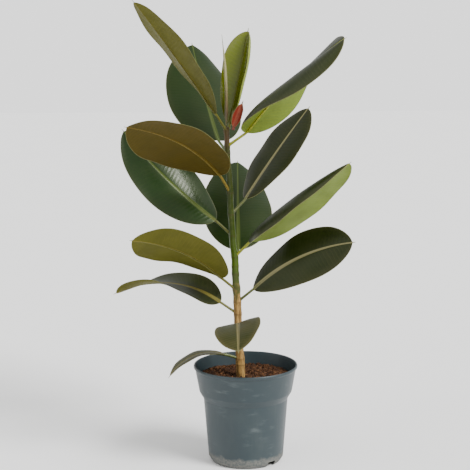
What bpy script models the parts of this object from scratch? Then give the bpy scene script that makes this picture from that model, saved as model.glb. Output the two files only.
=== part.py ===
"""A rubber plant (Ficus elastica) growing in a round 17 cm nursery pot.

Metres, +Z up.  The origin is the middle of the pot's underside, which stands on the ground.
Headings are plan angles from +X towards +Y, so -90 degrees is the plant's front.
"""

import math
from collections import namedtuple

import bmesh
import bpy
from mathutils import Vector, noise

# ---- driving dimensions -------------------------------------------------------------------

GAP = 0.0003                # clearance kept between pieces that touch

POT_HEIGHT = 0.161
POT_WALL = 0.0015
FLOOR_THICKNESS = 0.0016
LIP_RADIUS = 0.0855         # outside of the rolled lip
BAND_TOP_RADIUS = 0.0830    # rim band, just under the lip
BAND_FOOT_RADIUS = 0.0761
BAND_FOOT_HEIGHT = 0.1170
WALL_TOP_RADIUS = 0.0694    # main wall, under the chamfer below the band
WALL_TOP_HEIGHT = 0.1055
WALL_FOOT_RADIUS = 0.0617
FOOT_HEIGHT = 0.0070
FOOT_RADIUS = 0.0572        # the flat that stands on the ground
DRAIN_SLOT_WIDTH = 0.0160
DRAIN_SLOT_HEIGHT = 0.0085
DRAIN_HEADINGS = (-47, 73, 193)
DRAIN_CUT_DEPTH = 0.0140    # long enough to pass through the corner of wall and floor
DRAIN_CUT_INSET = 0.0020

SOIL_LEVEL = 0.1400
SOIL_LUMPS = 0.0022         # rise and fall of the surface
SOIL_LUMP_SIZE = 0.0110
SOIL_EDGE_DROP = 0.0010     # where the mix meets the pot
SOIL_SEED = 11.3

# The stem's axis leans and wanders a little: (height, offset along X).
STEM_ROUTE = ((0.085, -0.007), (0.140, -0.008), (0.235, -0.012), (0.330, -0.016),
              (0.370, -0.020), (0.435, -0.023), (0.530, -0.028), (0.551, -0.029))
STEM_FOOT_RADIUS = 0.0072
STEM_TOP_RADIUS = 0.0042
STEM_TAPER = 0.9            # 1 would be an even taper
NODE_SWELLING = 0.0008      # each leaf and leaf scar leaves a low ring on the stem
NODE_LENGTH = 0.0040
SCAR_HEIGHTS = (0.160, 0.202, 0.290, 0.312)

PETIOLE_RADIUS = 0.0021
STALK_BASE = 0.020          # a stalk is this long plus a share of its blade's length
STALK_SHARE = 0.08
BLADE_THICKNESS = 0.0010
MIDRIB_DEPTH = 0.0012
TIP_LENGTH = 0.006          # the drawn-out drip tip
SLIM = 0.45                 # breadth of a blade as a share of its length
BROAD = 0.56
WIDEST = 0.46               # most blades are widest a little below their middle
TIP_TAPER = 0.65
TIP_ROUNDNESS = 2.2
BASE_TAPER = 0.60

POT_SIDES = 48
STEM_SIDES = 10
STEM_RINGS = 62
SOIL_RINGS = 7              # across the soil's surface, from the pot to the stem
BUD_SIDES = 8
STALK_RING_PLACES = (0.0, 0.5, 0.9)
BLADE_STATIONS = 13
STEPS_PER_STATION = 4       # the midrib is followed in smaller steps than the rings
RIB_THINNING = 0.8          # the share of the midrib that is gone by the tip
HALF_BLADE_STEPS = 3

Leaf = namedtuple(
    "Leaf",
    "name node_height stalk_heading stalk_rise heading rise droop sway roll twist fold curl"
    " length breadth over widest stalk",
    defaults=(0, WIDEST, None),
)

# Node heights and lengths in millimetres, angles in degrees.  The leaves climb the stem in turn.
# Droop, sway and twist build up from base to tip; fold lifts each half of the blade and curl
# bends its margin back down.  Over is extra curl on the half to the right of the stalk's way out.
LEAVES = (
    # a small one arching down over the rim
    Leaf("leaf_01", 170, -160, 20, 195, 20, 70, 15, 0, -15, 10, 15, 105, SLIM),
    # a short one reaching out to the front
    Leaf("leaf_02", 220, -90, 30, -90, 15, 40, 0, -15, 0, 10, 5, 135, BROAD),
    # bows over to the left and turns its underside up towards the tip
    Leaf("leaf_03", 245, 180, 35, 170, 35, 60, 15, 40, -75, 0, -20, 180, SLIM),
    # shows its upper side on the right
    Leaf("leaf_04", 265, -15, 40, -15, 45, 35, -10, -45, -35, 0, 20, 190, SLIM, widest=0.54),
    # shows its underside on the left
    Leaf("leaf_05", 285, -155, 40, 225, 40, 30, -10, 0, -50, 10, 15, 195, BROAD),
    # stands on edge with its underside out, and its upper half curls back over
    Leaf("leaf_06", 340, -20, 45, -30, 40, 5, -5, 25, -5, 10, 10, 225, BROAD, 90, 0.36),
    # stands behind the stem
    Leaf("leaf_07", 325, 80, 35, 90, 40, 10, 0, 0, -15, 0, 20, 215, BROAD),
    # flares up towards its tip on the left
    Leaf("leaf_08", 375, 165, 40, 165, 35, -15, 0, 40, 30, 0, 25, 210, SLIM),
    Leaf("leaf_09", 410, 30, 40, 35, 50, 5, 0, 0, -15, 10, 25, 190, SLIM),
    # the broad one turned to the front left
    Leaf("leaf_10", 445, -140, 55, 235, 40, 30, -20, -10, -30, 0, 20, 215, BROAD, widest=0.52),
    # like leaf_06 at its base, but it turns its upper side out towards the tip
    Leaf("leaf_11", 520, -10, 35, -35, 50, 20, 0, 30, -65, 10, 20, 235, BROAD, 55, 0.40),
    # the broad one behind the crown
    Leaf("leaf_12", 510, 115, 25, 105, 35, -10, 0, -5, -5, 0, 25, 230, BROAD),
    # the steep one that makes the plant's top
    Leaf("leaf_13", 545, -135, 50, 205, 55, 5, 0, 5, -15, 15, 15, 220, SLIM),
)

# The youngest leaf, still half rolled, and the dry red sheath that it came out of.
NEW_LEAF = Leaf("new_leaf", 0, 15, 78, 15, 78, 0, 0, -65, 0, 5, -25, 150, 0.40, -90, 0.66, 0.008)
NEW_LEAF_ROOT = (0.0037, 0.0064, -0.0040)
OLD_SHEATH = Leaf("red_sheath", 0, 5, 70, 5, 70, 0, 0, -75, 0, 10, -60, 40, 0.50, stalk=0.004)
OLD_SHEATH_ROOT = (0.0095, -0.0070, -0.0040)

BUD_LENGTH = 0.146
BUD_LEAN = (-0.0060, 0.0, 0.0)
BUD_BOW = 0.0030            # it bows out to the right halfway up
BUD_PROFILE = ((0.01, 0.0012), (0.06, 0.0013), (0.12, 0.0030), (0.20, 0.0026), (0.45, 0.0024),
               (0.62, 0.0026), (0.75, 0.0017), (0.85, 0.0007), (0.95, 0.0004))


# ---- small helpers ------------------------------------------------------------------------

def clear_scene():
    for item in list(bpy.data.objects):
        bpy.data.objects.remove(item, do_unlink=True)


def material(name, color, roughness, metallic=0.0):
    result = bpy.data.materials.new(name)
    result.use_nodes = True
    shader = result.node_tree.nodes["Principled BSDF"]
    shader.inputs["Base Color"].default_value = (*color, 1.0)
    shader.inputs["Roughness"].default_value = roughness
    shader.inputs["Metallic"].default_value = metallic
    result.diffuse_color = (*color, 1.0)
    return result


def add_object(name, verts, faces, surface, sharp_angle=40):
    """Make an object from points and faces, with its normals turned outwards."""
    mesh = bpy.data.meshes.new(name)
    mesh.from_pydata([tuple(v) for v in verts], [], faces)
    work = bmesh.new()
    work.from_mesh(mesh)
    bmesh.ops.recalc_face_normals(work, faces=work.faces)
    work.to_mesh(mesh)
    work.free()
    mesh.shade_smooth()
    mesh.set_sharp_from_angle(angle=math.radians(sharp_angle))
    mesh.materials.append(surface)
    item = bpy.data.objects.new(name, mesh)
    bpy.context.scene.collection.objects.link(item)
    return item


def circle(radius, height, sides, center_x=0.0):
    """Points of a level circle, starting at +X."""
    turns = [2 * math.pi * k / sides for k in range(sides)]
    return [Vector((center_x + radius * math.cos(t), radius * math.sin(t), height)) for t in turns]


def turned(name, profile, sides, surface):
    """Turn a profile of (radius, height) points round Z; both ends lie on the axis."""
    verts = [(0.0, 0.0, profile[0][1])]
    for radius, height in profile[1:-1]:
        verts += circle(radius, height, sides)
    verts.append((0.0, 0.0, profile[-1][1]))
    return add_object(name, verts, ring_faces(len(profile) - 2, sides), surface)


def ring_faces(rings, sides):
    """Faces of a closed skin over rings of points, with one pole point before and one after."""
    last = 1 + rings * sides
    faces = []
    for k in range(sides):
        after = (k + 1) % sides
        faces.append((0, 1 + after, 1 + k))
        faces.append((last, last - sides + k, last - sides + after))
        for row in range(rings - 1):
            low = 1 + row * sides
            high = low + sides
            faces.append((low + k, low + after, high + after, high + k))
    return faces


def blade_faces(rings, sides):
    """Ring faces with their quads split so that a twisted blade's two sides stay parallel.

    The first half of each ring runs over the blade and the second half comes back below it, so
    the lower quads take the opposite diagonal of their own, which lies under the upper one.
    """
    faces = []
    for face in ring_faces(rings, sides):
        if len(face) == 3:
            faces.append(face)
            continue
        low, low_after, high_after, high = face
        if (low - 1) % sides < sides // 2:
            faces += [(low, low_after, high_after), (low, high_after, high)]
        else:
            faces += [(low, low_after, high), (low_after, high_after, high)]
    return faces


def cut(item, cutter):
    """Subtract the cutter with a Boolean that stays on the item."""
    cutter.hide_render = True
    cutter.display_type = "WIRE"
    step = item.modifiers.new("cut", "BOOLEAN")
    step.operation = "DIFFERENCE"
    step.solver = "EXACT"
    step.object = cutter


def mix(low, high, share):
    return low + (high - low) * share


# ---- pot ----------------------------------------------------------------------------------

def pot_outside():
    return [
        (FOOT_RADIUS, 0.0),
        (WALL_FOOT_RADIUS, FOOT_HEIGHT),
        (WALL_TOP_RADIUS, WALL_TOP_HEIGHT),
        (BAND_FOOT_RADIUS, BAND_FOOT_HEIGHT),
        (mix(BAND_FOOT_RADIUS, BAND_TOP_RADIUS, 0.1), BAND_FOOT_HEIGHT + 0.003),
        (BAND_TOP_RADIUS, POT_HEIGHT - 0.006),
        (LIP_RADIUS - 0.0006, POT_HEIGHT - 0.0045),
        (LIP_RADIUS, POT_HEIGHT - 0.0030),
        (LIP_RADIUS - 0.0003, POT_HEIGHT - 0.0012),
        (LIP_RADIUS - 0.0016, POT_HEIGHT),
    ]


def pot_inside():
    """Inner wall from the lip down, one wall thickness inside the outer one."""
    return [
        (LIP_RADIUS - 0.0028, POT_HEIGHT - 0.0008),
        (BAND_TOP_RADIUS - POT_WALL, POT_HEIGHT - 0.006),
        (BAND_FOOT_RADIUS - POT_WALL, BAND_FOOT_HEIGHT + 0.001),
        (WALL_TOP_RADIUS - POT_WALL, WALL_TOP_HEIGHT + 0.0008),
        (WALL_FOOT_RADIUS - POT_WALL, FOOT_HEIGHT + 0.0006),
        (FOOT_RADIUS - POT_WALL * 0.6, FLOOR_THICKNESS),
    ]


def build_pot():
    profile = [(0.0, 0.0)] + pot_outside() + pot_inside() + [(0.0, FLOOR_THICKNESS)]
    pot = turned("pot", profile, POT_SIDES, material("pot_plastic", (0.10, 0.14, 0.155), 0.45))
    reach = WALL_FOOT_RADIUS - DRAIN_CUT_INSET
    for number, heading in enumerate(DRAIN_HEADINGS):
        turn = math.radians(heading)
        mesh = bpy.data.meshes.new("drain_cutter")
        work = bmesh.new()
        bmesh.ops.create_cube(work, size=1.0)
        size = (DRAIN_CUT_DEPTH, DRAIN_SLOT_WIDTH, 2 * DRAIN_SLOT_HEIGHT)
        bmesh.ops.scale(work, verts=work.verts, vec=size)
        work.to_mesh(mesh)
        work.free()
        cutter = bpy.data.objects.new(f"drain_cutter_{number}", mesh)
        cutter.location = (reach * math.cos(turn), reach * math.sin(turn), 0.0)
        cutter.rotation_euler = (0.0, 0.0, turn)
        bpy.context.scene.collection.objects.link(cutter)
        cut(pot, cutter)
    return pot


# ---- stem ---------------------------------------------------------------------------------

def stem_offset(height):
    """X of the stem's axis at a height, on a smooth curve through the route."""
    points = STEM_ROUTE
    for low, high in zip(points, points[1:]):
        if height <= high[0] or high is points[-1]:
            share = (height - low[0]) / (high[0] - low[0])
            share = min(max(share, 0.0), 1.0)
            return mix(low[1], high[1], share * share * (3 - 2 * share))


def stem_radius(height):
    """Taper from the soil to the tip, plus the low rings at the nodes."""
    foot, top = STEM_ROUTE[1][0], STEM_ROUTE[-1][0]
    share = min(max((height - foot) / (top - foot), 0.0), 1.0)
    radius = mix(STEM_FOOT_RADIUS, STEM_TOP_RADIUS, share ** STEM_TAPER)
    for ring in [leaf.node_height / 1000 for leaf in LEAVES] + list(SCAR_HEIGHTS):
        radius += NODE_SWELLING * math.exp(-((height - ring) / NODE_LENGTH) ** 2)
    return radius


def build_stem():
    foot, top = STEM_ROUTE[0][0], STEM_ROUTE[-1][0]
    verts = [Vector((stem_offset(foot), 0.0, foot))]
    for k in range(STEM_RINGS):
        height = mix(foot, top, k / (STEM_RINGS - 1))
        verts += circle(stem_radius(height), height, STEM_SIDES, stem_offset(height))
    verts.append(Vector((stem_offset(top), 0.0, top)))
    faces = ring_faces(STEM_RINGS, STEM_SIDES)
    return add_object("stem", verts, faces, material("stem_bark", (0.30, 0.22, 0.07), 0.65))


# ---- soil ---------------------------------------------------------------------------------

def soil_height(x, y):
    spot = Vector((x / SOIL_LUMP_SIZE, y / SOIL_LUMP_SIZE, SOIL_SEED))
    return SOIL_LEVEL + SOIL_LUMPS * noise.noise(spot)


def build_soil():
    """The potting mix: it fills the pot and has a hollow for the buried end of the stem."""
    inner = pot_inside()
    band_top, band_foot = inner[1], inner[2]
    share = (SOIL_LEVEL - band_foot[1]) / (band_top[1] - band_foot[1])
    edge = mix(band_foot[0], band_top[0], share) - 2 * GAP
    foot = FLOOR_THICKNESS + GAP
    verts = [Vector((0.0, 0.0, foot))]
    side = [(inner[-1][0] - 2 * GAP, foot)]
    side += [(radius - 2 * GAP, height) for radius, height in reversed(inner[2:-1])]
    side.append((edge, SOIL_LEVEL - SOIL_EDGE_DROP))
    for radius, height in side:
        verts += circle(radius, height, POT_SIDES)
    mouth = circle(stem_radius(SOIL_LEVEL) + 2 * GAP, 0.0, POT_SIDES, stem_offset(SOIL_LEVEL))
    for step in range(1, SOIL_RINGS + 1):
        for outer, inside in zip(circle(edge, 0.0, POT_SIDES), mouth):
            spot = outer.lerp(inside, step / SOIL_RINGS)
            spot.z = soil_height(spot.x, spot.y)
            verts.append(spot)
    stem_foot = STEM_ROUTE[0][0]
    hollow = [mix(SOIL_LEVEL, stem_foot, k / 3) for k in (1, 2)] + [stem_foot - GAP]
    for height in hollow:
        verts += circle(stem_radius(height) + 2 * GAP, height, POT_SIDES, stem_offset(height))
    verts.append(Vector((stem_offset(stem_foot), 0.0, hollow[-1])))
    rows = len(side) + SOIL_RINGS + len(hollow)
    surface = material("potting_mix", (0.09, 0.035, 0.016), 0.95)
    return add_object("soil", verts, ring_faces(rows, POT_SIDES), surface)


# ---- leaves -------------------------------------------------------------------------------

def heading_vector(heading, rise):
    flat = math.cos(math.radians(rise))
    turn = math.radians(heading)
    return Vector((flat * math.cos(turn), flat * math.sin(turn), math.sin(math.radians(rise))))


def side_and_up(heading, forward, roll):
    """The blade's right-hand direction and its upper normal, banked by the roll."""
    turn = math.radians(heading)
    level = Vector((math.sin(turn), -math.cos(turn), 0.0))
    up = level.cross(forward)
    bank = math.radians(roll)
    side = level * math.cos(bank) + up * math.sin(bank)
    return side, up * math.cos(bank) - level * math.sin(bank)


def half_width_share(s, widest):
    """Outline of the blade: 0 at the base and tip, 1 at its widest place."""
    if s < widest:
        return (1 - ((widest - s) / widest) ** 2) ** BASE_TAPER
    return (1 - ((s - widest) / (1 - widest)) ** TIP_ROUNDNESS) ** TIP_TAPER


def stalk_length(leaf):
    if leaf.stalk is None:
        return STALK_BASE + STALK_SHARE * leaf.length / 1000
    return leaf.stalk


def cross_section(leaf, t):
    """Sideways and upward place of a point t along half the blade's width, -1 to 1, and its lean."""
    fold = math.radians(leaf.fold)
    curl = math.radians(leaf.curl + (leaf.over if t > 0 else 0)) or 1e-6
    lean = fold - curl * abs(t)
    across = (math.sin(fold) - math.sin(lean)) / curl
    lift = (math.cos(lean) - math.cos(fold)) / curl
    return (across if t > 0 else -across), lift, lean


def stalk_ring(center, side, up, radius):
    """A round ring with as many points as a blade ring."""
    steps = 4 * HALF_BLADE_STEPS
    ring = []
    for k in range(steps):
        turn = math.pi - 2 * math.pi * k / steps
        ring.append(center + side * (radius * math.cos(turn)) + up * (radius * math.sin(turn)))
    return ring


def blade_ring(leaf, center, side, up, half_width, rib):
    """A thin closed section of the blade: over the top from left to right, then back below."""
    over, under = [], []
    steps = 2 * HALF_BLADE_STEPS
    for k in range(steps + 1):
        t = 2 * k / steps - 1
        across, lift, lean = cross_section(leaf, t)
        outward = side if t > 0 else -side
        square = up * math.cos(lean) - outward * math.sin(lean)
        if k == HALF_BLADE_STEPS:
            square = up
        spot = center + side * (half_width * across) + up * (half_width * lift)
        cover = BLADE_THICKNESS / 2 * (1 - t ** 4)
        over.append(spot + square * cover)
        under.append(spot - square * (cover + (rib if k == HALF_BLADE_STEPS else 0.0)))
    return over + under[-2:0:-1]


def leaf_rings(leaf, root, root_clearance):
    """Rings of points from the stalk's root to the blade's tip, and the two end points."""
    stalk = heading_vector(leaf.stalk_heading, leaf.stalk_rise)
    base = root + stalk * stalk_length(leaf)
    length = leaf.length / 1000
    side, up = side_and_up(leaf.stalk_heading, stalk, leaf.roll)
    start = root + stalk * root_clearance
    rings = []
    for share in STALK_RING_PLACES:
        spot = start.lerp(base, share)
        rings.append(stalk_ring(spot, side, up, PETIOLE_RADIUS))
    steps = BLADE_STATIONS * STEPS_PER_STATION
    center = base.copy()
    turns = [math.pi * k / BLADE_STATIONS for k in range(1, BLADE_STATIONS)]
    marks = [round(steps * (1 - math.cos(t)) / 2) for t in turns]
    tip = center
    for step in range(1, steps + 1):
        s = (step - 0.5) / steps
        heading = leaf.heading + leaf.sway * s
        forward = heading_vector(heading, leaf.rise - leaf.droop * s)
        center = center + forward * (length / steps)
        if step in marks:
            s = step / steps
            side, up = side_and_up(heading, forward, leaf.roll + leaf.twist * s)
            rib_left = 1 - RIB_THINNING * s
            rib_radius = PETIOLE_RADIUS * rib_left
            half_width = max(length * leaf.breadth / 2 * half_width_share(s, leaf.widest), rib_radius)
            rings.append(blade_ring(leaf, center, side, up, half_width, MIDRIB_DEPTH * rib_left))
        tip = center + forward * TIP_LENGTH
    return rings, start, tip


def build_leaf(leaf, surface, root=None, root_clearance=None):
    """One blade with its stalk and midrib, as one closed skin."""
    if root is None:
        height = leaf.node_height / 1000
        root = Vector((stem_offset(height), 0.0, height))
        tilt = math.sin(math.radians(leaf.stalk_rise))
        spread = math.cos(math.radians(leaf.stalk_rise))
        root_clearance = (stem_radius(height) + 2 * GAP + PETIOLE_RADIUS * tilt) / spread
    rings, start, tip = leaf_rings(leaf, root, root_clearance)
    verts = [start] + [v for ring in rings for v in ring] + [tip]
    return add_object(leaf.name, verts, blade_faces(len(rings), 4 * HALF_BLADE_STEPS), surface, 60)


# ---- the growing tip ----------------------------------------------------------------------

def build_bud_sheath(surface):
    """The slim pointed sheath round the next bud, standing beside the new leaf."""
    top = STEM_ROUTE[-1][0]
    foot = Vector((stem_offset(top), 0.0, top + GAP))
    tip = foot + Vector(BUD_LEAN) + Vector((0.0, 0.0, BUD_LENGTH))
    verts = [foot]
    for share, radius in BUD_PROFILE:
        center = foot.lerp(tip, share)
        center.x += BUD_BOW * math.sin(math.pi * share)
        verts += circle(radius, center.z, BUD_SIDES, center.x)
    verts.append(tip)
    return add_object("bud_sheath", verts, ring_faces(len(BUD_PROFILE), BUD_SIDES), surface)


def main():
    clear_scene()
    green = material("leaf_green", (0.035, 0.07, 0.02), 0.35)
    build_pot()
    build_soil()
    build_stem()
    for leaf in LEAVES:
        build_leaf(leaf, green)
    crown = Vector((stem_offset(STEM_ROUTE[-1][0]), 0.0, STEM_ROUTE[-1][0]))
    new_green = material("new_leaf_green", (0.17, 0.20, 0.01), 0.25)
    build_leaf(NEW_LEAF, new_green, crown + Vector(NEW_LEAF_ROOT), 0.0)
    sheath_red = material("sheath_red", (0.33, 0.05, 0.04), 0.35)
    build_leaf(OLD_SHEATH, sheath_red, crown + Vector(OLD_SHEATH_ROOT), 0.0)
    build_bud_sheath(material("bud_cream", (0.42, 0.36, 0.16), 0.4))


main()
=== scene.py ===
import math
import random

import bmesh
import bpy
import numpy as np
from mathutils import Matrix, Vector, noise


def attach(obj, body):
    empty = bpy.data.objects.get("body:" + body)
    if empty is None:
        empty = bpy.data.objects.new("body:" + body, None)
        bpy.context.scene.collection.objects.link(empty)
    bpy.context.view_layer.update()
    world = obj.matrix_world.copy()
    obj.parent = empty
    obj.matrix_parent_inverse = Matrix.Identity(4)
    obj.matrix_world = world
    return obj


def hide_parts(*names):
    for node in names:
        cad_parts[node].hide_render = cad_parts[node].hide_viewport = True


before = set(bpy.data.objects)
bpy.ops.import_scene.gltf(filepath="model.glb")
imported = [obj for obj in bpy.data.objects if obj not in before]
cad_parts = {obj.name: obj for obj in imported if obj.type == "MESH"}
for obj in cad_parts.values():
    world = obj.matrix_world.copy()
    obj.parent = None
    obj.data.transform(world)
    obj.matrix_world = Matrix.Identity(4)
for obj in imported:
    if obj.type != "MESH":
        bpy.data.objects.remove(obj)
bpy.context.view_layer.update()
scene = bpy.context.scene
rng = random.Random(41)
print("frame loaded")


# small tools for meshes

def smoothShare(low, high, value):
    share = np.clip((value - low) / (high - low), 0, 1)
    return share * share * (3 - 2 * share)


def mix(low, high, share):
    return low + (high - low) * share


def addMesh(name, points, faces, surfaces, faceSurface=None, values=None):
    # values holds one row of three numbers a point, which materials read by name
    mesh = bpy.data.meshes.new(name)
    mesh.from_pydata([tuple(p) for p in points], [], [tuple(f) for f in faces])
    for surface in surfaces:
        mesh.materials.append(surface)
    if faceSurface is not None:
        mesh.polygons.foreach_set("material_index", faceSurface)
    for key, rows in (values or {}).items():
        store = mesh.attributes.new(key, "FLOAT_VECTOR", "POINT")
        store.data.foreach_set("vector", np.asarray(rows, np.float32).ravel())
    work = bmesh.new()
    work.from_mesh(mesh)
    bmesh.ops.recalc_face_normals(work, faces=work.faces)
    work.to_mesh(mesh)
    work.free()
    mesh.shade_smooth()
    piece = bpy.data.objects.new(name, mesh)
    scene.collection.objects.link(piece)
    return piece


def tubeFaces(rings, sides):
    # quads along the tube, and one flat face at each end
    faces = []
    for row in range(rings - 1):
        for k in range(sides):
            after = (k + 1) % sides
            low, high = row * sides, (row + 1) * sides
            faces.append((low + k, low + after, high + after, high + k))
    faces.append(tuple(range(sides - 1, -1, -1)))
    faces.append(tuple((rings - 1) * sides + k for k in range(sides)))
    return faces


def tubeAlong(centers, radii, sides, start=Vector((0.3, 0.9, 0.1))):
    # rings square to the line, carried along without turning
    points = []
    side = start
    for k, center in enumerate(centers):
        before, after = centers[max(k - 1, 0)], centers[min(k + 1, len(centers) - 1)]
        forward = (after - before).normalized()
        side = (side - forward * side.dot(forward)).normalized()
        up = forward.cross(side)
        for j in range(sides):
            turn = 2 * math.pi * j / sides
            points.append(center + (side * math.cos(turn) + up * math.sin(turn)) * radii[k])
    return points


def turnedPiece(name, profile, sides, surfaces):
    # a profile of (radius, height) turned round Z, with a small flat face where each end nears the axis
    points = []
    for radius, height in profile:
        for k in range(sides):
            turn = 2 * math.pi * k / sides
            points.append((radius * math.cos(turn), radius * math.sin(turn), height))
    faces = tubeFaces(len(profile), sides)
    return addMesh(name, points, faces, surfaces)


# small tools for materials

def newSurface(name, roughness=0.5, **sockets):
    # sockets are set straight on the shader, as in Coat_Weight=0.2
    surface = bpy.data.materials.new(name)
    surface.use_nodes = True
    shader = surface.node_tree.nodes["Principled BSDF"]
    shader.inputs["Roughness"].default_value = roughness
    for key, value in sockets.items():
        shader.inputs[key.replace("_", " ")].default_value = value
    return surface, surface.node_tree, shader


def node(tree, kind, inputs=(), **settings):
    made = tree.nodes.new(kind)
    for key, value in settings.items():
        setattr(made, key, value)
    for key, value in dict(inputs).items():
        if isinstance(value, bpy.types.NodeSocket):
            tree.links.new(value, made.inputs[key])
        else:
            made.inputs[key].default_value = value
    return made


def maths(tree, operation, a, b=0.0):
    made = node(tree, "ShaderNodeMath", {0: a, 1: b}, operation=operation)
    return made.outputs[0]


def ranged(tree, value, low, high, toLow=0.0, toHigh=1.0):
    made = node(tree, "ShaderNodeMapRange", {0: value, 1: low, 2: high, 3: toLow, 4: toHigh},
                interpolation_type="SMOOTHSTEP")
    return made.outputs[0]


def blended(tree, share, first, second):
    made = tree.nodes.new("ShaderNodeMix")
    made.data_type = "RGBA"
    for socket, value in ((made.inputs[0], share), (made.inputs[6], first), (made.inputs[7], second)):
        if isinstance(value, bpy.types.NodeSocket):
            tree.links.new(value, socket)
        elif isinstance(value, (int, float)):
            socket.default_value = value
        else:
            socket.default_value = (*value[:3], 1.0)
    return made.outputs[2]


def cloudy(tree, scale, detail=4.0, rough=0.55, stretch=None):
    place = node(tree, "ShaderNodeTexCoord").outputs["Object"]
    if stretch:
        place = node(tree, "ShaderNodeMapping", {"Vector": place, "Scale": stretch}).outputs[0]
    made = node(tree, "ShaderNodeTexNoise",
                {"Vector": place, "Scale": scale, "Detail": detail, "Roughness": rough})
    return made.outputs["Fac"]


def heightOf(tree):
    place = node(tree, "ShaderNodeTexCoord").outputs["Object"]
    return node(tree, "ShaderNodeSeparateXYZ", {0: place}).outputs["Z"]


def bumped(tree, shader, height, distance, strength=1.0):
    made = node(tree, "ShaderNodeBump", {"Height": height, "Distance": distance, "Strength": strength})
    tree.links.new(made.outputs[0], shader.inputs["Normal"])


# the pot: thin moulded plastic with a rim band, a chamfer under it and three drain slots

pot = {
    "height": 0.161, "wall": 0.0015, "floor": 0.0016,
    "lip": 0.0855, "bandTop": 0.0830, "bandFoot": 0.0761, "bandFootHeight": 0.1170,
    "wallTop": 0.0694, "wallTopHeight": 0.1055, "wallFoot": 0.0617, "footHeight": 0.0070,
    "foot": 0.0572, "round": 0.0012, "sides": 192, "bandEdge": 0.003, "lipFoot": 0.006, "nearAxis": 0.0005,
    # the lip's corners, as how far in from its outside and how far down from the top they lie
    "lipShape": ((0.0004, 0.0048), (0.0, 0.0028), (0.0008, 0.0003), (0.0018, 0.0), (0.0030, 0.0008)),
    # how much higher the inside corners lie: at the band's foot, the wall's top and the wall's foot
    "insideRise": (0.001, 0.0008, 0.0006),
    "slotTurns": (-47, 73, 193), "slotWidth": 0.016, "slotHeight": 0.0085, "slotDepth": 0.014,
    "plastic": (0.016, 0.029, 0.034), "dusty": (0.036, 0.049, 0.050), "lime": (0.128, 0.126, 0.112),
    # the last colour is for lighter rubs, partly real scuffs and partly painted highlight glinting on the
    # plastic
    "limeTop": 0.019, "scuffAndGlint": (0.16, 0.19, 0.19),
}


def roundedCorner(before, corner, after, radius):
    # a corner of the profile as a short curve of five points
    a = Vector(before) - Vector(corner)
    b = Vector(after) - Vector(corner)
    reach = min(radius, a.length * 0.45, b.length * 0.45)
    start, end = Vector(corner) + a.normalized() * reach, Vector(corner) + b.normalized() * reach
    shares = [k / 4 for k in range(5)]
    return [start.lerp(Vector(corner), s).lerp(Vector(corner).lerp(end, s), s) for s in shares]


def potProfile():
    p = pot
    top, wall = p["height"], p["wall"]
    lip = [(p["lip"] - inward, top - down) for inward, down in p["lipShape"]]
    atBandFoot, atWallTop, atWallFoot = p["insideRise"]
    corners = [
        (0.0, 0.0), (p["foot"], 0.0), (p["wallFoot"], p["footHeight"]),
        (p["wallTop"], p["wallTopHeight"]), (p["bandFoot"], p["bandFootHeight"]),
        (mix(p["bandFoot"], p["bandTop"], 0.1), p["bandFootHeight"] + p["bandEdge"]),
        (p["bandTop"], top - p["lipFoot"]), *lip, (p["bandTop"] - wall, top - p["lipFoot"]),
        (p["bandFoot"] - wall, p["bandFootHeight"] + atBandFoot),
        (p["wallTop"] - wall, p["wallTopHeight"] + atWallTop),
        (p["wallFoot"] - wall, p["footHeight"] + atWallFoot), (p["foot"] - wall * 0.6, p["floor"]),
        (0.0, p["floor"]),
    ]
    profile = [(p["nearAxis"], 0.0)]
    for before, corner, after in zip(corners, corners[1:], corners[2:]):
        profile += [tuple(q) for q in roundedCorner(before, corner, after, p["round"])]
    return profile + [(p["nearAxis"], p["floor"])]


def potPlastic():
    surface, tree, shader = newSurface("slatePlastic", Specular_IOR_Level=0.45)
    height = heightOf(tree)
    dust = ranged(tree, cloudy(tree, 22, 5), 0.42, 0.72)
    streaks = ranged(tree, cloudy(tree, 90, 3, 0.5, (1.0, 1.0, 0.12)), 0.52, 0.78)
    color = blended(tree, maths(tree, "MULTIPLY", dust, 0.35), pot["plastic"], pot["dusty"])
    color = blended(tree, maths(tree, "MULTIPLY", streaks, 0.22), color, pot["dusty"])
    # painted highlight, in part: lighter horizontal rubs, partly real scuffs and partly glints of light
    # drawn into the colour
    rubAndGlintStreaks = ranged(tree, cloudy(tree, 34, 4, 0.6, (0.8, 0.8, 3.0)), 0.52, 0.78)
    rubAndGlintPatches = ranged(tree, cloudy(tree, 16, 2), 0.45, 0.65)
    color = blended(tree, maths(tree, "MULTIPLY", maths(tree, "MULTIPLY", rubAndGlintStreaks, rubAndGlintPatches), 0.38), color,
                    pot["scuffAndGlint"])
    edge = maths(tree, "MULTIPLY", cloudy(tree, 70, 4), 0.018)
    raised = maths(tree, "ADD", height, maths(tree, "SUBTRACT", 0.009, edge))
    limeMask = ranged(tree, raised, pot["limeTop"], pot["limeTop"] * 0.65)
    specks = ranged(tree, cloudy(tree, 260, 5, 0.7), 0.36, 0.60)
    limeMask = maths(tree, "MULTIPLY", limeMask, ranged(tree, specks, 0.0, 1.0, 0.35, 0.9))
    color = blended(tree, limeMask, color, pot["lime"])
    tree.links.new(color, shader.inputs["Base Color"])
    rough = maths(tree, "ADD", maths(tree, "MULTIPLY", dust, 0.10), 0.38)
    tree.links.new(maths(tree, "ADD", rough, maths(tree, "MULTIPLY", limeMask, 0.40)),
                   shader.inputs["Roughness"])
    grain = maths(tree, "ADD", maths(tree, "MULTIPLY", cloudy(tree, 900, 2), 0.4),
                  maths(tree, "MULTIPLY", limeMask, specks))
    bumped(tree, shader, grain, 0.0002, 0.5)
    return surface


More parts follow.
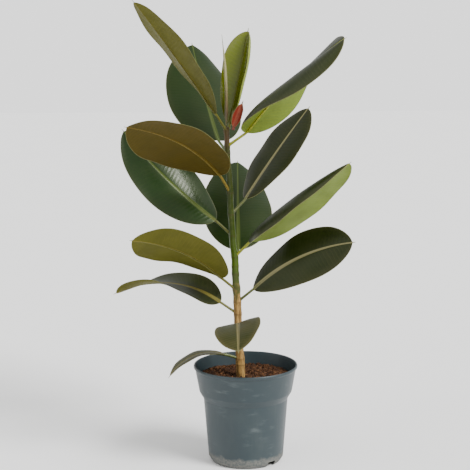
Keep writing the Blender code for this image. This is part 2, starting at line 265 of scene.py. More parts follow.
def makePot():
    piece = turnedPiece("nurseryPot", potProfile(), pot["sides"], [potPlastic()])
    reach = pot["wallFoot"] - 0.002
    cutters = []
    for heading in pot["slotTurns"]:
        turn = math.radians(heading)
        bpy.ops.mesh.primitive_cube_add(size=1)
        cutter = bpy.context.object
        cutter.scale = (pot["slotDepth"], pot["slotWidth"], 2 * pot["slotHeight"])
        cutter.rotation_euler.z = turn
        cutter.location = (reach * math.cos(turn), reach * math.sin(turn), 0)
        step = piece.modifiers.new("slot", "BOOLEAN")
        step.operation, step.solver, step.object = "DIFFERENCE", "EXACT", cutter
        cutters.append(cutter)
    bpy.context.view_layer.update()
    done = bpy.data.meshes.new_from_object(piece.evaluated_get(bpy.context.evaluated_depsgraph_get()))
    piece.modifiers.clear()
    piece.data = done
    for cutter in cutters:
        bpy.data.objects.remove(cutter)
    piece.data.set_sharp_from_angle(angle=math.radians(50))
    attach(piece, "root")
    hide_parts("pot")


makePot()
print("pot made")


# the stem: tan bark at its foot, green above, with a ring at each leaf and each leaf scar

stem = {
    "route": ((0.085, -0.007), (0.140, -0.008), (0.235, -0.012), (0.330, -0.016),
              (0.370, -0.020), (0.435, -0.023), (0.530, -0.028), (0.551, -0.029)),
    "footRadius": 0.0072, "topRadius": 0.0042, "swelling": 0.0006, "ringLength": 0.0046,
    "scars": (0.160, 0.202, 0.290, 0.312), "rings": 420, "sides": 40, "barkTop": 0.27,
    "buried": 0.128, "greenLump": 0.00012, "barkLump": 0.00035, "ringWidth": 0.0010, "ringShade": 0.50,
    "ringWander": 0.0007, "colorsFrom": 0.25, "colorsOver": 0.31,
    "bark": (0.330, 0.195, 0.058), "barkDark": (0.135, 0.076, 0.022), "scar": (0.055, 0.028, 0.010),
    "colors": ((0.262, (0.055, 0.050, 0.008)), (0.312, (0.038, 0.062, 0.004)),
               (0.328, (0.064, 0.112, 0.003)), (0.380, (0.026, 0.046, 0.001)),
               (0.450, (0.020, 0.031, 0.001)), (0.515, (0.044, 0.050, 0.008)),
               (0.530, (0.080, 0.042, 0.018)), (0.545, (0.070, 0.048, 0.014))),
}

# Each leaf as a gardener would describe it: where its stalk leaves the stem (mm up), which way
# it points (degrees from +X), how it rises, droops, sways, rolls and twists, and its size in mm.
slim, broad = 0.45, 0.56
leaves = {
    "leaf_01": dict(node=170, stalkTurn=-160, stalkRise=20, turn=195, rise=20, droop=70, sway=15,
                    roll=0, twist=-15, fold=10, curl=15, length=105, breadth=slim, look="sheenGreyed"),
    "leaf_02": dict(node=220, stalkTurn=-90, stalkRise=30, turn=-90, rise=15, droop=40, sway=0,
                    roll=-15, twist=0, fold=10, curl=5, length=135, breadth=broad, look="sheenGreyed"),
    "leaf_03": dict(node=245, stalkTurn=180, stalkRise=35, turn=170, rise=35, droop=60, sway=15,
                    roll=40, twist=-75, fold=0, curl=-20, length=180, breadth=slim, look="olive"),
    "leaf_04": dict(node=265, stalkTurn=-15, stalkRise=40, turn=-15, rise=45, droop=35, sway=-10,
                    roll=-45, twist=-35, fold=0, curl=20, length=190, breadth=slim, widest=0.54,
                    look="bronze"),
    "leaf_05": dict(node=285, stalkTurn=-155, stalkRise=40, turn=225, rise=40, droop=30, sway=-10,
                    roll=0, twist=-50, fold=10, curl=15, length=195, breadth=broad, look="olive"),
    "leaf_06": dict(node=340, stalkTurn=-20, stalkRise=45, turn=-30, rise=40, droop=5, sway=-5,
                    roll=25, twist=-5, fold=10, curl=10, length=225, breadth=broad, over=90,
                    widest=0.36, look="litFromBehind"),
    "leaf_07": dict(node=325, stalkTurn=80, stalkRise=35, turn=90, rise=40, droop=10, sway=0,
                    roll=0, twist=-15, fold=0, curl=20, length=215, breadth=broad, look="deep"),
    "leaf_08": dict(node=375, stalkTurn=165, stalkRise=40, turn=165, rise=35, droop=-15, sway=0,
                    roll=40, twist=30, fold=0, curl=25, length=210, breadth=slim, look="glossy"),
    "leaf_09": dict(node=410, stalkTurn=30, stalkRise=40, turn=35, rise=50, droop=5, sway=0,
                    roll=0, twist=-15, fold=10, curl=25, length=190, breadth=slim, look="bronze"),
    "leaf_10": dict(node=445, stalkTurn=-140, stalkRise=55, turn=235, rise=40, droop=30, sway=-20,
                    roll=-10, twist=-30, fold=0, curl=20, length=215, breadth=broad, widest=0.52,
                    look="brown"),
    "leaf_11": dict(node=520, stalkTurn=-10, stalkRise=35, turn=-35, rise=50, droop=20, sway=0,
                    roll=30, twist=-65, fold=10, curl=20, length=235, breadth=broad, over=55,
                    widest=0.40, look="litFromBehind"),
    "leaf_12": dict(node=510, stalkTurn=115, stalkRise=25, turn=105, rise=35, droop=-10, sway=0,
                    roll=-5, twist=-5, fold=0, curl=25, length=230, breadth=broad, look="deep"),
    "leaf_13": dict(node=545, stalkTurn=-135, stalkRise=50, turn=205, rise=55, droop=5, sway=0,
                    roll=5, twist=-15, fold=15, curl=15, length=220, breadth=slim, look="olive"),
}


def stemOffset(height):
    points = stem["route"]
    for low, high in zip(points, points[1:]):
        if height <= high[0] or high is points[-1]:
            share = min(max((height - low[0]) / (high[0] - low[0]), 0.0), 1.0)
            return mix(low[1], high[1], share * share * (3 - 2 * share))


def stemRings():
    # the heights of the leaves and of the scars, where the stem swells
    return [leaf["node"] / 1000 for leaf in leaves.values()] + list(stem["scars"])


def stemRadius(height):
    foot, top = stem["route"][1][0], stem["route"][-1][0]
    share = min(max((height - foot) / (top - foot), 0.0), 1.0)
    radius = mix(stem["footRadius"], stem["topRadius"], share ** 0.9)
    for ring in stemRings():
        radius += stem["swelling"] * math.exp(-((height - ring) / stem["ringLength"]) ** 2)
    return radius


def stemBark():
    surface, tree, shader = newSurface("stemBark", Specular_IOR_Level=0.25)
    height = heightOf(tree)
    low, span = stem["colorsFrom"], stem["colorsOver"]
    straight = node(tree, "ShaderNodeMapRange", {0: height, 1: low, 2: low + span})
    ramp = node(tree, "ShaderNodeValToRGB", {0: straight.outputs[0]})
    for k, (place, color) in enumerate(stem["colors"]):
        share = (place - low) / span
        spots = ramp.color_ramp.elements
        spot = spots[k] if k < 2 else spots.new(share)
        spot.position = share
        spot.color = (*color, 1)
    green = blended(tree, ranged(tree, cloudy(tree, 160, 3), 0.45, 0.75, 0.0, 0.4),
                    ramp.outputs[0], (0.085, 0.092, 0.020))
    cracks = cloudy(tree, 300, 5, 0.65, (1.0, 1.0, 0.16))
    bark = blended(tree, ranged(tree, cracks, 0.40, 0.62), stem["barkDark"], stem["bark"])
    wander = maths(tree, "MULTIPLY", cloudy(tree, 110, 4), 0.10)
    barkMask = ranged(tree, maths(tree, "ADD", height, wander), stem["barkTop"] + 0.075,
                      stem["barkTop"] + 0.03)
    color = blended(tree, barkMask, green, bark)
    marks = node(tree, "ShaderNodeAttribute", attribute_name="marks").outputs["Vector"]
    split = node(tree, "ShaderNodeSeparateXYZ", {0: marks})
    color = blended(tree, split.outputs["X"], color, stem["scar"])
    tree.links.new(color, shader.inputs["Base Color"])
    tree.links.new(ranged(tree, barkMask, 0.0, 1.0, 0.38, 0.80), shader.inputs["Roughness"])
    bumped(tree, shader, maths(tree, "MULTIPLY", cracks, maths(tree, "ADD", barkMask, 0.15)), 0.0006)
    return surface


def makeStem():
    foot, top = stem["buried"], stem["route"][-1][0]
    points, marks = [], []
    rings = stemRings()
    for row in range(stem["rings"]):
        height = mix(foot, top, row / (stem["rings"] - 1))
        radius = stemRadius(height)
        for k in range(stem["sides"]):
            turn = 2 * math.pi * k / stem["sides"]
            spot = Vector((math.cos(turn) * 3, math.sin(turn) * 3, height * 60))
            bark = 1.0 - smoothShare(0.25, 0.32, height)
            lump = noise.noise(spot) * (stem["greenLump"] + stem["barkLump"] * bark)
            reach = radius + lump
            points.append((stemOffset(height) + reach * math.cos(turn), reach * math.sin(turn), height))
            wander = stem["ringWander"] * noise.noise(spot * 0.8)
            near = min(abs(height - ring + wander) for ring in rings)
            marks.append((stem["ringShade"] * math.exp(-(near / stem["ringWidth"]) ** 2), 0, 0))
    piece = addMesh("stemBarkAndGreen", points, tubeFaces(stem["rings"], stem["sides"]), [stemBark()],
                    values={"marks": marks})
    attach(piece, "root")
    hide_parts("stem")


makeStem()
print("stem made")


# the potting mix: a lumpy bed with crumbs, chips and coir threads lying on it

mixBed = {
    "level": 0.1400, "edge": 0.0774, "lump": 0.0022, "crumbs": 2300, "threads": 260,
    "foot": 0.128, "fineLump": 0.0009, "lumpSize": 0.011, "fineLumpSize": 0.0035,
    "crumbStretch": ((0.6, 1.5), (0.5, 1.0), (0.35, 0.8)), "fullTurn": 6.28,
    "threadLength": (0.006, 0.016), "threadRadius": (0.00018, 0.00040), "threadBend": 1.2,
    "crumbSize": (0.0008, 0.0034), "dark": (0.012, 0.005, 0.002), "brown": (0.046, 0.017, 0.006),
    "pale": (0.150, 0.066, 0.026),
}


def pottingMix(name):
    surface, tree, shader = newSurface(name, Specular_IOR_Level=0.2)
    shade = node(tree, "ShaderNodeAttribute", attribute_name="shade").outputs["Vector"]
    own = node(tree, "ShaderNodeSeparateXYZ", {0: shade}).outputs["X"]
    fine = cloudy(tree, 700, 5, 0.7)
    color = blended(tree, ranged(tree, fine, 0.35, 0.65), mixBed["dark"], mixBed["brown"])
    color = blended(tree, maths(tree, "MULTIPLY", own, 0.9), color, mixBed["pale"])
    tree.links.new(color, shader.inputs["Base Color"])
    tree.links.new(ranged(tree, fine, 0.3, 0.7, 0.95, 0.75), shader.inputs["Roughness"])
    bumped(tree, shader, fine, 0.0008)
    return surface


def bedHeight(x, y):
    coarse = noise.noise(Vector((x / mixBed["lumpSize"], y / mixBed["lumpSize"], 11.3)))
    fine = noise.noise(Vector((x / mixBed["fineLumpSize"], y / mixBed["fineLumpSize"], 4.1)))
    return mixBed["level"] + mixBed["lump"] * coarse + mixBed["fineLump"] * fine


def makeBed():
    rings, sides = 60, 120
    points = []
    for row in range(rings):
        radius = mix(0.0004, mixBed["edge"], row / (rings - 1))
        for k in range(sides):
            turn = 2 * math.pi * k / sides
            x, y = radius * math.cos(turn), radius * math.sin(turn)
            points.append((x, y, bedHeight(x, y)))
    for k in range(sides):
        turn = 2 * math.pi * k / sides
        reach = mixBed["edge"] - 0.002
        points.append((reach * math.cos(turn), reach * math.sin(turn), mixBed["foot"]))
    faces = tubeFaces(rings + 1, sides)
    piece = addMesh("mixBed", points, faces, [pottingMix("moistMix")],
                    values={"shade": [(0.1, 0, 0)] * len(points)})
    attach(piece, "root")
    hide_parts("soil")


def placeOnBed():
    # an even spread over the bed that keeps off the stem
    while True:
        radius = (mixBed["edge"] - 0.003) * math.sqrt(rng.random())
        turn = rng.uniform(0, 2 * math.pi)
        x, y = radius * math.cos(turn), radius * math.sin(turn)
        if math.hypot(x - stemOffset(mixBed["level"]), y) > stem["footRadius"] + 0.001:
            return Vector((x, y, bedHeight(x, y)))


def makeCrumbs():
    ball = bmesh.new()
    bmesh.ops.create_icosphere(ball, subdivisions=2, radius=1.0)
    shape = [v.co.copy() for v in ball.verts]
    shapeFaces = [tuple(v.index for v in f.verts) for f in ball.faces]
    ball.free()
    points, faces, shades = [], [], []
    for _ in range(mixBed["crumbs"]):
        spot = placeOnBed()
        size = mix(*mixBed["crumbSize"], rng.random() ** 2)
        stretch = Vector([rng.uniform(*limits) for limits in mixBed["crumbStretch"]])
        turned = Matrix.Rotation(rng.uniform(0, mixBed["fullTurn"]), 3, "Z")
        turned = turned @ Matrix.Rotation(rng.uniform(-0.7, 0.7), 3, "X")
        seed = Vector((rng.random() * 50, rng.random() * 50, 0))
        shade = rng.random() ** 2.2
        start = len(points)
        for v in shape:
            rough = 1 + 0.75 * noise.noise(v * 1.9 + seed)
            local = Vector((v.x * stretch.x, v.y * stretch.y, v.z * stretch.z)) * rough * size
            points.append(spot + turned @ local + Vector((0, 0, size * 0.25)))
            shades.append((shade, 0, 0))
        faces += [tuple(start + i for i in f) for f in shapeFaces]
    piece = addMesh("mixCrumbs", points, faces, [pottingMix("crumbMix")], values={"shade": shades})
    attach(piece, "root")


def makeThreads():
    steps, sides = 9, 6
    points, faces, shades = [], [], []
    for _ in range(mixBed["threads"]):
        spot = placeOnBed()
        turn = rng.uniform(0, mixBed["fullTurn"])
        bend = rng.uniform(-mixBed["threadBend"], mixBed["threadBend"])
        length, radius = rng.uniform(*mixBed["threadLength"]), rng.uniform(*mixBed["threadRadius"])
        line = []
        for k in range(steps):
            share = k / (steps - 1) - 0.5
            heading = turn + bend * share
            place = spot + Vector((math.cos(heading), math.sin(heading), 0)) * length * share
            if math.hypot(place.x, place.y) > mixBed["edge"] - 0.001:
                place = spot.copy()
                place.x += 0.0002 * k
            place.z = bedHeight(place.x, place.y) + 0.0012 + 0.0012 * math.cos(3 * share)
            line.append(place)
        start = len(points)
        points += tubeAlong(line, [radius] * steps, sides)
        faces += [tuple(start + i for i in f) for f in tubeFaces(steps, sides)]
        shades += [(rng.uniform(0.3, 0.9), 0, 0)] * (steps * sides)
    piece = addMesh("coirThreads", points, faces, [pottingMix("coirMix")], values={"shade": shades})
    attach(piece, "root")


makeBed()
makeCrumbs()
makeThreads()
print("potting mix made")


# the leaves: a thin blade with a channel above and a rib below, ribbed side veins, and a painted highlight
# along the edge

blade = {
    "thickness": 0.0010, "widest": 0.46, "baseTaper": 0.60, "tipTaper": 0.65, "tipLength": 0.0055,
    "stalkRadius": 0.0021, "stalkBase": 0.020, "stalkShare": 0.08, "gap": 0.0003,
    "along": 168, "across": 45, "veinSpacing": 0.0068, "veinHeight": 0.00006, "wave": 0.0010,
    "waves": 2.6, "edgeWidth": 0.0013, "veinSlant": 0.34, "channel": 0.00055, "channelWidth": 0.0013,
    "drip": (0.0013, 0.00025), "ribHalf": (0.0040, 0.0011), "ribTip": 0.00035, "stalkStep": 0.0028,
}

# colours of each kind of leaf: upper side, a paler tint for its pale veins and for painted sheen near the
# margins and in blotches, underside, rib and stalk; shine is the roughness of the upper side and coat its
# wax
looks = {
    "deep": dict(upper=(0.005, 0.017, 0.001), paleTintAndSheen=(0.017, 0.024, 0.004), under=(0.090, 0.105, 0.012),
                 rib=(0.050, 0.070, 0.012), stalk=(0.065, 0.100, 0.006), shine=0.36, coat=0.05),
    "glossy": dict(upper=(0.004, 0.021, 0.001), paleTintAndSheen=(0.018, 0.030, 0.005), under=(0.100, 0.110, 0.014),
                   rib=(0.060, 0.085, 0.012), stalk=(0.085, 0.090, 0.008), shine=0.30, coat=0.30),
    "bronze": dict(upper=(0.006, 0.010, 0.001), paleTintAndSheen=(0.026, 0.025, 0.008), under=(0.090, 0.078, 0.014),
                   rib=(0.185, 0.165, 0.078), stalk=(0.070, 0.080, 0.010), shine=0.38, coat=0.04),
    "olive": dict(upper=(0.008, 0.012, 0.001), paleTintAndSheen=(0.026, 0.026, 0.007), under=(0.082, 0.078, 0.009),
                  rib=(0.160, 0.130, 0.024), stalk=(0.110, 0.105, 0.010), shine=0.40, coat=0.06),
    "brown": dict(upper=(0.010, 0.016, 0.002), paleTintAndSheen=(0.034, 0.032, 0.010), under=(0.062, 0.044, 0.006),
                  rib=(0.135, 0.088, 0.014), stalk=(0.160, 0.110, 0.008), shine=0.36, coat=0.05),
    # painted light: this look's pale green underside stands in for light shining through the blade from
    # behind
    "litFromBehind": dict(upper=(0.008, 0.014, 0.001), paleTintAndSheen=(0.032, 0.032, 0.012), under=(0.150, 0.205, 0.030),
                  rib=(0.250, 0.270, 0.018), stalk=(0.290, 0.300, 0.014), shine=0.34, coat=0.06),
    # painted reflection: this look's greyed upper side and pale tan tint stand in for the sheen of light
    # reflected off the upper side
    "sheenGreyed": dict(upper=(0.026, 0.030, 0.008), paleTintAndSheen=(0.100, 0.082, 0.034), under=(0.120, 0.094, 0.034),
                 rib=(0.150, 0.130, 0.055), stalk=(0.085, 0.105, 0.018), shine=0.46, coat=0.0),
    "young": dict(upper=(0.086, 0.112, 0.001), paleTintAndSheen=(0.130, 0.145, 0.002), under=(0.225, 0.280, 0.040),
                  rib=(0.092, 0.104, 0.002), stalk=(0.130, 0.135, 0.010), shine=0.16, coat=0.60),
    "red": dict(upper=(0.185, 0.016, 0.010), paleTintAndSheen=(0.240, 0.050, 0.030), under=(0.210, 0.032, 0.020),
                rib=(0.270, 0.070, 0.042), stalk=(0.160, 0.032, 0.020), shine=0.22, coat=0.20),
}
# painted highlight: the pale colour of a thin line along each margin, where the edge catches the light
edgeHighlight = (0.170, 0.165, 0.070)


def sideVeins(tree, along, across, under):
    # slanted stripes that come and go: how strongly they show, and the fine ripple for the relief
    slant = maths(tree, "SUBTRACT", along, maths(tree, "MULTIPLY", across, blade["veinSlant"]))
    wander = maths(tree, "MULTIPLY", cloudy(tree, 48, 2), 0.0060)
    phase = maths(tree, "ADD", slant, wander)
    wide = maths(tree, "SINE", maths(tree, "MULTIPLY", phase, 2 * math.pi / blade["veinSpacing"]))
    thin = maths(tree, "SINE", maths(tree, "MULTIPLY", phase, 4 * math.pi / blade["veinSpacing"]))
    veinLines = ranged(tree, wide, 0.72, 1.0, 0.0, 0.20 if under else 0.34)
    fineLines = ranged(tree, thin, 0.60, 1.0, 0.0, 0.08 if under else 0.04)
    patchy = ranged(tree, cloudy(tree, 22, 2), 0.36, 0.66, 0.25, 1.0)
    return maths(tree, "MULTIPLY", maths(tree, "ADD", veinLines, fineLines), patchy), thin


def leafSurface(name, color, look, under):
    # one side of a blade; "place" gives metres across, metres along and metres in from the edge
    shine = look["shine"] + (0.18 if under and look is not looks["young"] else 0.0)
    surface, tree, shader = newSurface(name, Coat_Weight=0.0 if under else look["coat"],
                                       Coat_Roughness=0.2, Specular_IOR_Level=0.12 if under else 0.28,
                                       Specular_Tint=(0.90, 0.95, 0.62, 1))
    place = node(tree, "ShaderNodeAttribute", attribute_name="place").outputs["Vector"]
    split = node(tree, "ShaderNodeSeparateXYZ", {0: place})
    across = maths(tree, "ABSOLUTE", split.outputs["X"])
    along, inward = split.outputs["Y"], split.outputs["Z"]
    patches = ranged(tree, cloudy(tree, 34, 3), 0.35, 0.70)
    nearEdge = ranged(tree, maths(tree, "ADD", inward, maths(tree, "MULTIPLY", patches, 0.004)),
                      0.013, 0.002)
    # blotches toward the paler tint: partly uneven tone, partly painted sheen
    base = blended(tree, maths(tree, "MULTIPLY", patches, 0.22), color, look["paleTintAndSheen"])
    # painted sheen: the upper side turns toward the paler tint near the margins, where reflected light
    # shows as a brown-grey sheen
    if not under:
        base = blended(tree, maths(tree, "MULTIPLY", nearEdge, 0.40), base, look["paleTintAndSheen"])
    veins, thin = sideVeins(tree, along, across, under)
    base = blended(tree, veins, base, look["rib"] if under else look["paleTintAndSheen"])
    fromRib = maths(tree, "DIVIDE", across, ranged(tree, along, 0.0, 0.21, *blade["ribHalf"]))
    ribMask = maths(tree, "SUBTRACT", 1.0, ranged(tree, fromRib, 0.55, 1.15))
    base = blended(tree, maths(tree, "MULTIPLY", ribMask, 0.85), base, look["rib"])
    # painted highlight along the margin
    edgeHighlightMask = ranged(tree, inward, blade["edgeWidth"], blade["edgeWidth"] * 0.25)
    base = blended(tree, maths(tree, "MULTIPLY", edgeHighlightMask, 0.75), base, edgeHighlight)
    tree.links.new(base, shader.inputs["Base Color"])
    smear = maths(tree, "ADD", maths(tree, "MULTIPLY", patches, 0.09), shine)
    tree.links.new(maths(tree, "ADD", smear, maths(tree, "MULTIPLY", nearEdge, 0.08)),
                   shader.inputs["Roughness"])
    relief = maths(tree, "ADD", maths(tree, "MULTIPLY", thin, 0.35),
                   maths(tree, "MULTIPLY", cloudy(tree, 150, 2), 0.5))
    bumped(tree, shader, relief, 0.00012, 0.15 if under else 0.35)
    return surface


def stalkSurface(name, look):
    surface, tree, shader = newSurface(name, roughness=0.4, Specular_IOR_Level=0.45)
    streaks = ranged(tree, cloudy(tree, 240, 4), 0.4, 0.7)
    deeper = tuple(c * 0.72 for c in look["stalk"])
    tree.links.new(blended(tree, streaks, look["stalk"], deeper), shader.inputs["Base Color"])
    bumped(tree, shader, streaks, 0.0002, 0.5)
    return surface


def widthShare(s, widest):
    # the blade's outline, 0 at its base and tip
    low = np.clip(1 - np.clip((widest - s) / widest, 0, 1) ** 2, 0, 1)
    reach = np.clip((s - widest) / (1 - widest), 0, 1)
    high = np.clip(1 - reach ** 2.2, 0, 1)
    return np.where(s < widest, low ** blade["baseTaper"], high ** blade["tipTaper"])


def directions(turn, rise):
    turn, rise = np.radians(turn), np.radians(rise)
    forward = np.stack([np.cos(rise) * np.cos(turn), np.cos(rise) * np.sin(turn), np.sin(rise)], -1)
    level = np.stack([np.sin(turn), -np.cos(turn), np.zeros_like(turn)], -1)
    return forward, level


def bladeLine(plan, base):
    # the line down the middle of the blade, with its sideways and upward directions
    length = plan["length"] / 1000
    full = 1 + blade["tipLength"] / length
    s = np.linspace(0, full, blade["along"])
    half = np.minimum((s[1:] + s[:-1]) / 2, 1)
    steps, _ = directions(plan["turn"] + plan["sway"] * half, plan["rise"] - plan["droop"] * half)
    moved = np.cumsum(steps * (np.diff(s) * length)[:, None], axis=0)
    center = np.vstack([[np.zeros(3)], moved]) + np.array(base)
    capped = np.minimum(s, 1)
    forward, level = directions(plan["turn"] + plan["sway"] * capped,
                                plan["rise"] - plan["droop"] * capped)
    up = np.cross(level, forward)
    bank = np.radians(plan["roll"] + plan["twist"] * capped)[:, None]
    side = level * np.cos(bank) + up * np.sin(bank)
    return s, center, side, up * np.cos(bank) - level * np.sin(bank)


def bladeRelief(plan, s, t, flat, along, body, seed):
    # the raised side veins and the slow waves of the margins
    reach = np.abs(t)[None, :]
    phase = 2 * math.pi * (along - blade["veinSlant"] * np.abs(flat)) / blade["veinSpacing"]
    ribs = blade["veinHeight"] * np.sin(phase) * body
    ribs = ribs * smoothShare(0.05, 0.25, reach) * (1 - smoothShare(0.85, 1, reach))
    shift = np.where(t > 0, 1.3, 0)[None, :]
    swing = np.sin(2 * math.pi * blade["waves"] * s[:, None] + seed * 1.9 + shift)
    waves = blade["wave"] * plan["length"] / 1000 / 0.2 * swing * reach ** 3 * body
    return waves + ribs


def bladeFaces(rows, columns):
    # quads over the upper side, the lower side and all round the rim
    index = np.arange(rows * columns).reshape(rows, columns)
    other = index + rows * columns
    a, b, c, d = index[:-1, :-1], index[:-1, 1:], index[1:, 1:], index[1:, :-1]
    upper = np.stack([a, b, c, d], -1).reshape(-1, 4)
    lower = (upper + rows * columns)[:, ::-1]
    rims = []
    for first, second in ((index[:, 0], other[:, 0]), (index[:, -1], other[:, -1]),
                          (index[0], other[0]), (index[-1], other[-1])):
        rims.append(np.stack([first[:-1], second[:-1], second[1:], first[1:]], -1))
    rim = np.concatenate(rims)
    return np.concatenate([upper, lower, rim]), [0] * len(upper) + [1] * (len(lower) + len(rim))


def makeBlade(name, plan, base, surfaces, seed):
    s, center, side, up = bladeLine(plan, base)
    length = plan["length"] / 1000
    drip = mix(*blade["drip"], np.clip((s - 0.97) / (s[-1] - 0.97), 0, 1))
    outline = widthShare(s, plan.get("widest", blade["widest"]))
    half = np.maximum(plan["breadth"] * length / 2 * outline, drip)
    u = np.linspace(-1, 1, blade["across"])
    t = u - 0.09 * np.sin(2 * np.pi * u)
    reach = np.abs(t)[None, :]
    # the narrow ends lie flat, since they are hardly wider than they are thick
    calm = smoothShare(0.0012, min(0.0070, 0.35 * half.max()), half)[:, None]
    curls = np.where(t > 0, plan["curl"] + plan.get("over", 0), plan["curl"])
    curls = np.radians(curls)[None, :] * calm
    curls = np.where(np.abs(curls) < 1e-4, 1e-4, curls)
    fold = math.radians(plan["fold"]) * calm
    lean = fold - curls * reach
    across = np.sign(t)[None, :] * (np.sin(fold) - np.sin(lean)) / curls
    lift = (np.cos(lean) - np.cos(fold)) / curls
    width = half[:, None]
    flat = t[None, :] * width
    along = (s * length)[:, None]
    body = smoothShare(0.0, 0.05, s)[:, None] * (1 - smoothShare(0.90, 1.0, s)[:, None])
    relief = bladeRelief(plan, s, t, flat, along, body, seed)
    channel = blade["channel"] * np.exp(-(flat / blade["channelWidth"]) ** 2) * body
    cover = blade["thickness"] / 2 * (1 - reach ** 4) * 0.8 + 0.00018
    cover = np.minimum(cover, width * 0.3)
    tilt = lean * smoothShare(0.0, 0.004, np.abs(flat))
    square = up[:, None, :] * np.cos(tilt)[..., None]
    square = square - side[:, None, :] * (np.sign(t)[None, :] * np.sin(tilt))[..., None]
    spots = center[:, None, :] + side[:, None, :] * (across * width)[..., None]
    spots = spots + up[:, None, :] * (width * lift)[..., None]
    top = spots + square * (relief + cover - channel)[..., None]
    bottom = spots + square * (relief - cover)[..., None]
    points = np.concatenate([top.reshape(-1, 3), bottom.reshape(-1, 3)])
    inward = np.maximum(width - np.abs(flat), 0)
    one = np.stack([flat, along + np.zeros_like(flat), inward], -1).reshape(-1, 3)
    faces, which = bladeFaces(*top.shape[:2])
    piece = addMesh(name, points, faces, surfaces, which, {"place": np.concatenate([one, one])})
    return piece, center, up


def makeLeaf(nodeName, plan, root, clearance, stalkLength, seed):
    look = looks[plan["look"]]
    name = nodeName.replace("_", "")
    stalk, _ = directions(np.array(plan["stalkTurn"], float), np.array(plan["stalkRise"], float))
    stalk = Vector(stalk)
    base = root + stalk * stalkLength
    surfaces = [leafSurface(name + "Upper", look["upper"], look, False),
                leafSurface(name + "Under", look["under"], look, True)]
    piece, center, up = makeBlade(name + "Blade", plan, base, surfaces, seed)
    # the stalk runs on under the blade as its rib
    count = min(12, max(3, round(stalkLength / blade["stalkStep"])))
    line = [root + stalk * mix(clearance, stalkLength, k / count) for k in range(count)]
    radii = [blade["stalkRadius"] * (1 + 0.45 * math.exp(-k / 2.0)) for k in range(count)]
    last = int(len(center) * 0.93)
    skip = max(4, round(blade["stalkStep"] * blade["along"] * 1000 / plan["length"]))
    for k in range(skip, last, skip):
        share = k / last
        radius = mix(blade["stalkRadius"], blade["ribTip"], share ** 0.75)
        sink = mix(radius * 0.35, radius * 0.75, min(k / 16, 1))
        line.append(Vector(center[k] - up[k] * (sink + 0.0003)))
        radii.append(radius)
    points = tubeAlong(line, radii, 14)
    faces = tubeFaces(len(line), 14)
    rib = addMesh(name + "Stalk", points, faces, [stalkSurface(name + "StalkSkin", look)])
    for made in (piece, rib):
        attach(made, "root")
    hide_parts(nodeName)


def makeLeaves():
    for seed, (name, plan) in enumerate(leaves.items()):
        height = plan["node"] / 1000
        root = Vector((stemOffset(height), 0.0, height))
        stalkLength = blade["stalkBase"] + blade["stalkShare"] * plan["length"] / 1000
        makeLeaf(name, plan, root, stemRadius(height) * 0.55, stalkLength, seed)


makeLeaves()
print("leaves made")


# the growing tip: the young leaf, the slim sheath round the next bud and the dry red sheath

tip = {
    "young": dict(stalkTurn=15, stalkRise=78, turn=15, rise=78, droop=0, sway=0, roll=-65, twist=0,
                  fold=5, curl=-25, length=150, breadth=0.40, over=-90, widest=0.66, look="young"),
    "youngRoot": (0.0037, 0.0064, -0.0040), "youngStalk": 0.008,
    "sheath": dict(stalkTurn=5, stalkRise=70, turn=5, rise=70, droop=0, sway=0, roll=-75, twist=0,
                   fold=10, curl=-60, length=40, breadth=0.50, look="red"),
    "sheathRoot": (0.0105, -0.0080, -0.0040), "sheathStalk": 0.004,
    "budLength": 0.146, "budLean": -0.0060, "budBow": 0.0030,
    "budProfile": ((0.0, 0.0008), (0.01, 0.0012), (0.06, 0.0013), (0.12, 0.0030), (0.20, 0.0026),
                   (0.45, 0.0024), (0.62, 0.0026), (0.75, 0.0017), (0.85, 0.0007), (0.95, 0.0004),
                   (1.0, 0.0002)),
    "budColors": ((0.0, (0.115, 0.100, 0.018)), (0.14, (0.075, 0.045, 0.018)),
                  (0.34, (0.190, 0.140, 0.055)), (0.52, (0.340, 0.310, 0.150)),
                  (0.80, (0.300, 0.290, 0.130)), (1.0, (0.160, 0.150, 0.060))),
}


def budSurface(foot):
    surface, tree, shader = newSurface("budSheathSkin", roughness=0.36, Specular_IOR_Level=0.5,
                                       Coat_Weight=0.15)
    share = node(tree, "ShaderNodeMapRange",
                 {0: heightOf(tree), 1: foot, 2: foot + tip["budLength"]}).outputs[0]
    ramp = node(tree, "ShaderNodeValToRGB", {0: share})
    spots = ramp.color_ramp.elements
    for k, (place, color) in enumerate(tip["budColors"]):
        spot = spots[k] if k < 2 else spots.new(place)
        spot.position = place
        spot.color = (*color, 1)
    lines = ranged(tree, cloudy(tree, 320, 4, 0.6, (1.0, 1.0, 0.08)), 0.42, 0.66, 0.0, 0.45)
    tree.links.new(blended(tree, lines, ramp.outputs[0], (0.12, 0.11, 0.05)), shader.inputs["Base Color"])
    bumped(tree, shader, lines, 0.0003, 0.6)
    return surface


def makeBud(crown):
    foot = crown + Vector((0, 0, blade["gap"]))
    line, radii = [], []
    places = np.array([p[0] for p in tip["budProfile"]])
    sizes = np.array([p[1] for p in tip["budProfile"]])
    for k in range(90):
        share = k / 89
        x = tip["budLean"] * share + tip["budBow"] * math.sin(math.pi * share)
        line.append(foot + Vector((x, 0, tip["budLength"] * share)))
        radii.append(float(np.interp(share, places, sizes)))
    radii = np.convolve(np.pad(radii, 3, mode="edge"), np.ones(7) / 7, mode="valid")
    piece = addMesh("budSheath", tubeAlong(line, radii, 20), tubeFaces(90, 20), [budSurface(foot.z)])
    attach(piece, "root")
    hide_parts("bud_sheath")


def makeTip():
    top = stem["route"][-1][0]
    crown = Vector((stemOffset(top), 0.0, top))
    makeLeaf("new_leaf", tip["young"], crown + Vector(tip["youngRoot"]), 0.0, tip["youngStalk"],
             3)
    makeLeaf("red_sheath", tip["sheath"], crown + Vector(tip["sheathRoot"]), 0.0, tip["sheathStalk"],
             5)
    makeBud(crown)


makeTip()
print("growing tip made")


# the studio: a pale floor, soft light and the camera

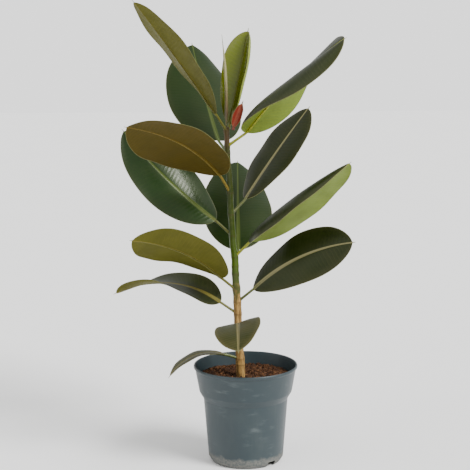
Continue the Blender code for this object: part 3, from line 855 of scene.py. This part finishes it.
studio = {
    "floor": (0.93, 0.93, 0.925), "floorSize": 14, "floorDrop": 0.0004, "backdrop": 1.72, "room": 0.90,
    "lamps": (("keyLamp", (2.0, -1.4, 2.4), 5.0, 28), ("fillLamp", (-2.4, -1.2, 1.8), 0.9, 60)),
    "aim": (0.0, 0.0, 0.38), "cameraPlace": (-0.016, -2.2, 0.756), "cameraTilt": 80.2,
    "cameraRoll": -0.35, "lens": 105.7,
}


def makeFloor():
    surface, tree, shader = newSurface("paleFloor", roughness=0.7)
    tone = ranged(tree, cloudy(tree, 3), 0.3, 0.7, 0.0, 0.06)
    tree.links.new(blended(tree, tone, studio["floor"], (0.80, 0.80, 0.79)), shader.inputs["Base Color"])
    # the floor lies a hair under the pot, so that the two don't share a plane
    bpy.ops.mesh.primitive_plane_add(size=studio["floorSize"], location=(0, 0, -studio["floorDrop"]))
    floor = bpy.context.object
    floor.name = "paleFloor"
    floor.data.materials.append(surface)


def makeLights():
    world = bpy.data.worlds.new("softRoom")
    scene.world = world
    world.use_nodes = True
    tree = world.node_tree
    room = tree.nodes["Background"]
    room.inputs[1].default_value = studio["room"]
    seen = node(tree, "ShaderNodeBackground", {"Strength": studio["backdrop"]})
    for sky in (room, seen):
        sky.inputs[0].default_value = (1, 1, 1, 1)
    rays = node(tree, "ShaderNodeLightPath")
    both = node(tree, "ShaderNodeMixShader",
                {0: rays.outputs["Is Camera Ray"], 1: room.outputs[0], 2: seen.outputs[0]})
    tree.links.new(both.outputs[0], tree.nodes["World Output"].inputs[0])
    for name, place, strength, spread in studio["lamps"]:
        light = bpy.data.lights.new(name, "SUN")
        light.energy, light.angle = strength, math.radians(spread)
        lamp = bpy.data.objects.new(name, light)
        lamp.location = place
        aim = Vector(studio["aim"]) - Vector(place)
        lamp.rotation_euler = aim.to_track_quat("-Z", "Y").to_euler()
        scene.collection.objects.link(lamp)


def makeCamera():
    data = bpy.data.cameras.new("camera")
    data.lens, data.sensor_width = studio["lens"], 36
    camera = bpy.data.objects.new("camera", data)
    tilt = Matrix.Rotation(math.radians(studio["cameraTilt"]), 4, "X")
    roll = Matrix.Rotation(math.radians(studio["cameraRoll"]), 4, "Z")
    camera.matrix_world = Matrix.Translation(studio["cameraPlace"]) @ tilt @ roll
    scene.collection.objects.link(camera)
    scene.camera = camera


makeFloor()
makeLights()
makeCamera()
print("studio made")
